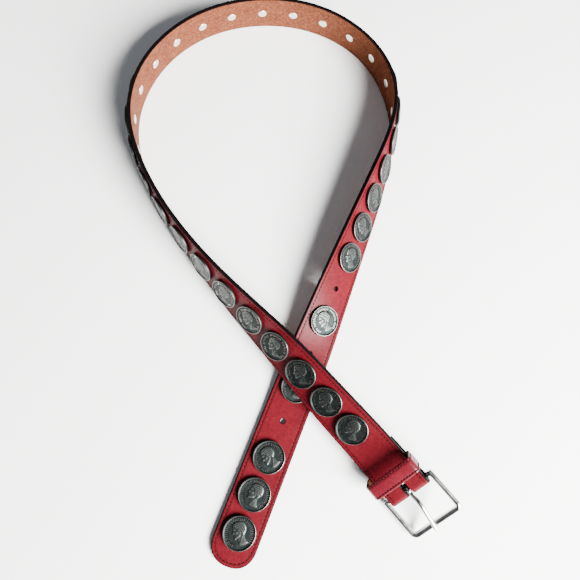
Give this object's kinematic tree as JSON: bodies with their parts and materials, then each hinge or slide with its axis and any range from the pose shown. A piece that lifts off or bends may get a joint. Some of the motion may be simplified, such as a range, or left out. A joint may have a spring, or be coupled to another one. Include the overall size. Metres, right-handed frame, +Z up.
{
  "type": "coin-studded leather belt",
  "caption": "Red leather belt with a row of coin-shaped studs, a fixed keeper and a single-prong buckle, laid in a loop with crossed ends.",
  "frame": {"origin": "middle of the belt's box in plan, on the surface that it lies on", "axes": "+Z up from the surface; the buckle strand runs along Y with the buckle at -Y, and the loop lies at +Y"},
  "size_m": [0.3832, 0.4514, 0.0357],
  "materials": {
    "red_leather": "smooth red leather, semi-gloss, with black painted edges and a tan suede back",
    "keeper_leather": "thinner red leather with more gloss",
    "satin_steel": "satin nickel",
    "antique_pewter": "antiqued dark silver, worn bright on the raised parts"
  },
  "bodies": {
    "belt": {"strap": "red_leather", "keeper": "keeper_leather", "coin_01": "antique_pewter", "coin_02": "antique_pewter", "coin_03": "antique_pewter", "coin_04": "antique_pewter", "coin_05": "antique_pewter", "coin_06": "antique_pewter", "coin_07": "antique_pewter", "coin_08": "antique_pewter", "coin_09": "antique_pewter", "coin_10": "antique_pewter", "coin_11": "antique_pewter", "coin_12": "antique_pewter", "coin_13": "antique_pewter", "coin_14": "antique_pewter", "coin_15": "antique_pewter", "coin_16": "antique_pewter", "coin_17": "antique_pewter", "coin_18": "antique_pewter", "coin_19": "antique_pewter", "coin_20": "antique_pewter", "coin_21": "antique_pewter", "coin_22": "antique_pewter", "coin_23": "antique_pewter", "coin_24": "antique_pewter", "coin_25": "antique_pewter", "coin_26": "antique_pewter", "coin_27": "antique_pewter", "coin_28": "antique_pewter", "coin_29": "antique_pewter", "coin_30": "antique_pewter", "coin_31": "antique_pewter", "coin_32": "antique_pewter", "coin_33": "antique_pewter", "coin_34": "antique_pewter"},
    "frame": {"buckle_frame": "satin_steel"},
    "prong": {"prong": "satin_steel"}
  },
  "joints": [
    {"name": "frame_hinge", "type": "hinge", "parent": "belt", "child": "frame", "pos_m": [-0.05025, -0.19035, 0.0124], "axis": [-0.8988, 0, -0.4384], "range_deg": [0, 45]},
    {"name": "prong_hinge", "type": "hinge", "parent": "frame", "child": "prong", "pos_m": [-0.05025, -0.19035, 0.0124], "axis": [-0.8988, 0, -0.4384], "range_deg": [0, 55]}
  ]
}
